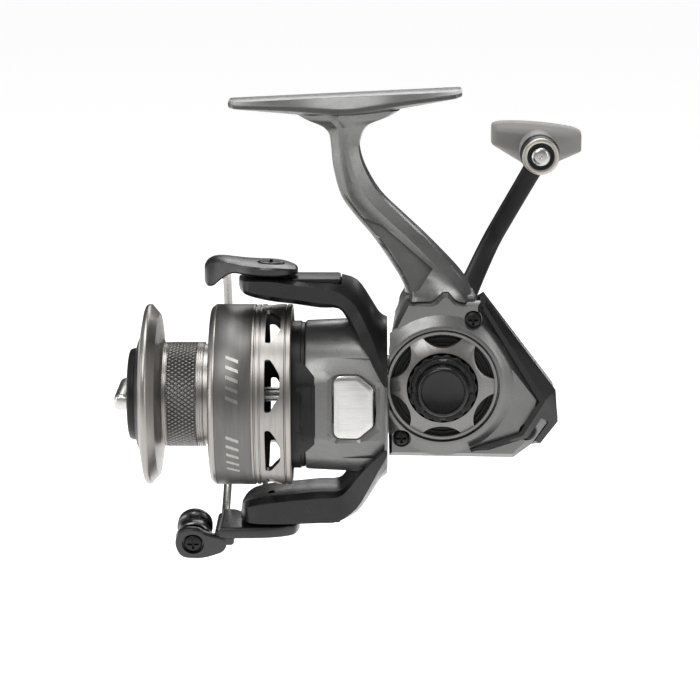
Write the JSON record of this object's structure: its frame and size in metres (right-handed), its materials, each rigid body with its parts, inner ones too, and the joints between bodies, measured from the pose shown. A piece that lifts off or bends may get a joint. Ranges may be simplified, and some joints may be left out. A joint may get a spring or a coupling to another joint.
{
  "type": "spinning reel",
  "caption": "Open-face fishing reel: lipped spool with a front drag knob, two-armed rotor with bail wire and line roller, crank handle with T knob, and a foot on a curved stem.",
  "frame": {"origin": "centre of the foot's seat, the flat top that lies against the rod", "axes": "+X towards the rear of the reel along the spool axis, +Y towards the handle, +Z from the spool up to the foot"},
  "size_m": [0.1322, 0.1013, 0.1301],
  "materials": {
    "gunmetal_paint": "satin",
    "gloss_black": "gloss",
    "satin_black": "satin",
    "pewter": "satin anodised",
    "steel": "turned",
    "brass": "machined",
    "badge_silver": "brushed",
    "knob_grey": "matte",
    "felt": "matte"
  },
  "bodies": {
    "carrier": {"body_housing": "gunmetal_paint", "side_plate": "gunmetal_paint", "side_plate_screw_top": "satin_black", "side_plate_screw_front": "satin_black", "side_plate_screw_rear": "satin_black", "rear_cover": "gloss_black", "rear_cover_screw": "satin_black", "side_trim_ring": "gunmetal_paint", "side_cap": "satin_black", "drive_bearing_near": "steel", "drive_bearing_far": "steel", "pinion_bearing": "steel", "clutch_housing": "steel", "clutch_retainer": "brass", "guide_rod": "steel"},
    "anti_reverse": {"anti_reverse_lever": "pewter"},
    "crank": {"drive_gear": "brass", "oscillation_pinion": "brass", "drive_shaft": "steel", "handle_hub": "satin_black", "handle_arm": "satin_black", "knob_pin": "steel", "knob_boss_ring": "satin_black"},
    "knob": {"handle_knob": "knob_grey", "knob_end_cap": "satin_black"},
    "crosswind": {"oscillation_gear": "brass"},
    "shaft": {"main_shaft": "steel", "oscillation_slider": "steel", "drag_washer_keyed_a": "steel", "drag_washer_keyed_b": "steel"},
    "spool": {"spool": "pewter", "click_gear": "steel", "drag_washer_eared_a": "felt", "drag_washer_eared_b": "felt", "drag_retainer": "steel"},
    "drag": {"drag_knob": "satin_black", "drag_knob_bar": "badge_silver", "drag_spring": "steel"},
    "rotor": {"pinion": "brass", "clutch_sleeve": "steel", "rotor": "gunmetal_paint", "rotor_front_ring": "satin_black", "rotor_nut": "brass", "badge_plate": "badge_silver", "rotor_arm_cover_upper": "gunmetal_paint", "rotor_arm_cover_lower": "gunmetal_paint", "bail_spring": "steel", "bail_pivot_screw_upper": "satin_black", "bail_pivot_screw_lower": "satin_black"},
    "bail": {"bail_lever": "gunmetal_paint", "bail_wire": "steel", "roller_arm": "gunmetal_paint", "roller_screw": "satin_black", "roller_bearing": "steel", "roller_cap": "gunmetal_paint"},
    "line_roller": {"line_roller": "steel"}
  },
  "joints": [
    {"name": "handle_turn", "type": "hinge", "parent": "carrier", "child": "crank", "pos_m": [0.0263, 0, -0.0765], "axis": [0, 1, 0], "continuous": true},
    {"name": "handle_knob_spin", "type": "hinge", "parent": "crank", "child": "knob", "pos_m": [0.056, 0.06, -0.0239], "axis": [0, 1, 0], "continuous": true},
    {"name": "crosswind_turn", "type": "hinge", "parent": "carrier", "child": "crosswind", "pos_m": [0.0393, 0, -0.0845], "axis": [0, 1, 0], "continuous": true},
    {"name": "rotor_spin", "type": "hinge", "parent": "carrier", "child": "rotor", "pos_m": [0.0013, 0, -0.083], "axis": [1, 0, 0], "continuous": true},
    {"name": "bail_flip", "type": "hinge", "parent": "rotor", "child": "bail", "pos_m": [-0.0202, 0, -0.083], "axis": [0, 0, 1], "range_deg": [0, 118]},
    {"name": "line_roller_spin", "type": "hinge", "parent": "bail", "child": "line_roller", "pos_m": [-0.0421, -0.008, -0.1239], "axis": [0, 0.9724, 0.2334], "continuous": true},
    {"name": "spool_oscillation", "type": "slide", "parent": "carrier", "child": "shaft", "axis": [1, 0, 0], "range_m": [0, 0.0135]},
    {"name": "spool_drag_spin", "type": "hinge", "parent": "shaft", "child": "spool", "pos_m": [-0.0337, 0, -0.083], "axis": [1, 0, 0], "continuous": true},
    {"name": "drag_knob_turn", "type": "hinge", "parent": "shaft", "child": "drag", "pos_m": [-0.0557, 0, -0.083], "axis": [1, 0, 0], "range_deg": [-540, 540]},
    {"name": "anti_reverse_switch", "type": "hinge", "parent": "carrier", "child": "anti_reverse", "pos_m": [0.0169, 0, -0.098], "axis": [0, 0, 1], "range_deg": [0, 30]}
  ],
  "couplings": [
    {"joint": "rotor_spin", "follows": "handle_turn", "ratio": -6.1667},
    {"joint": "crosswind_turn", "follows": "handle_turn", "ratio": -0.58333}
  ]
}
